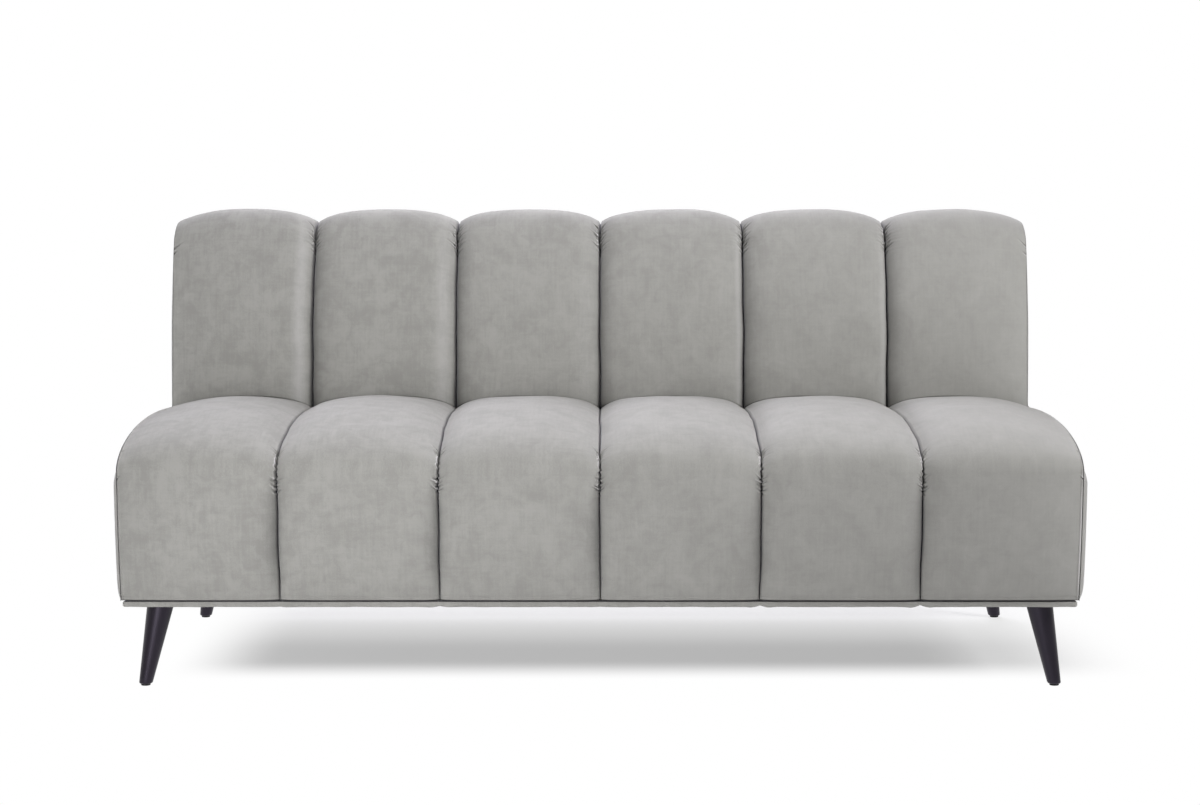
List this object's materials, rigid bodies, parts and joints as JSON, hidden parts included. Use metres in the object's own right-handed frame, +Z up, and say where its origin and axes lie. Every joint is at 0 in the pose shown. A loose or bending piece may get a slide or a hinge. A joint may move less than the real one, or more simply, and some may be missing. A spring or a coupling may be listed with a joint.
{
  "type": "banquette",
  "caption": "Armless upholstered banquette with a channelled velvet seat and rolled back on splayed black tapered legs.",
  "frame": {"origin": "on the floor, at the centre of the bounding box's base", "axes": "+X along the seat to a facing viewer's right, +Y to the rear, so that the seat faces -Y, +Z up"},
  "size_m": [1.704, 0.8162, 0.8405],
  "materials": {
    "velvet": "short-pile grey velvet",
    "leg_lacquer": "black satin lacquer",
    "frame_timber": "sawn pine",
    "foam": "open-cell polyurethane foam",
    "felt_and_webbing": "jute felt and webbing",
    "cambric": "black non-woven dust cloth",
    "steel": "zinc plated",
    "nylon": "moulded"
  },
  "bodies": {
    "root": {"back_channel_1": "velvet", "back_channel_2": "velvet", "back_channel_3": "velvet", "back_channel_4": "velvet", "back_channel_5": "velvet", "back_channel_6": "velvet", "back_end_panel_left": "velvet", "back_end_panel_right": "velvet", "back_end_post_left": "frame_timber", "back_end_post_right": "frame_timber", "back_foam": "foam", "back_lower_rail": "frame_timber", "back_mid_post_left": "frame_timber", "back_mid_post_right": "frame_timber", "back_top_rail": "frame_timber", "back_webbing": "felt_and_webbing", "base_band_front": "velvet", "base_band_left": "velvet", "base_band_rear": "velvet", "base_band_right": "velvet", "corner_block_front_left": "frame_timber", "corner_block_front_right": "frame_timber", "corner_block_rear_left": "frame_timber", "corner_block_rear_right": "frame_timber", "dust_cover": "cambric", "leg_bolt_front_left": "steel", "leg_bolt_front_right": "steel", "leg_bolt_rear_left": "steel", "leg_bolt_rear_right": "steel", "leg_front_left": "leg_lacquer", "leg_front_right": "leg_lacquer", "leg_glide_front_left": "nylon", "leg_glide_front_right": "nylon", "leg_glide_rear_left": "nylon", "leg_glide_rear_right": "nylon", "leg_plate_front_left": "steel", "leg_plate_front_right": "steel", "leg_plate_rear_left": "steel", "leg_plate_rear_right": "steel", "leg_rear_left": "leg_lacquer", "leg_rear_right": "leg_lacquer", "outer_back_panel": "velvet", "seat_channel_1": "velvet", "seat_channel_2": "velvet", "seat_channel_3": "velvet", "seat_channel_4": "velvet", "seat_channel_5": "velvet", "seat_channel_6": "velvet", "seat_cross_rail_left": "frame_timber", "seat_cross_rail_right": "frame_timber", "seat_deck_pad": "felt_and_webbing", "seat_end_panel_left": "velvet", "seat_end_panel_right": "velvet", "seat_foam_core": "foam", "seat_front_rail": "frame_timber", "seat_rear_rail": "frame_timber", "seat_side_rail_left": "frame_timber", "seat_side_rail_right": "frame_timber", "seat_spring_rail": "frame_timber", "seat_spring_unit": "steel"}
  },
  "joints": []
}
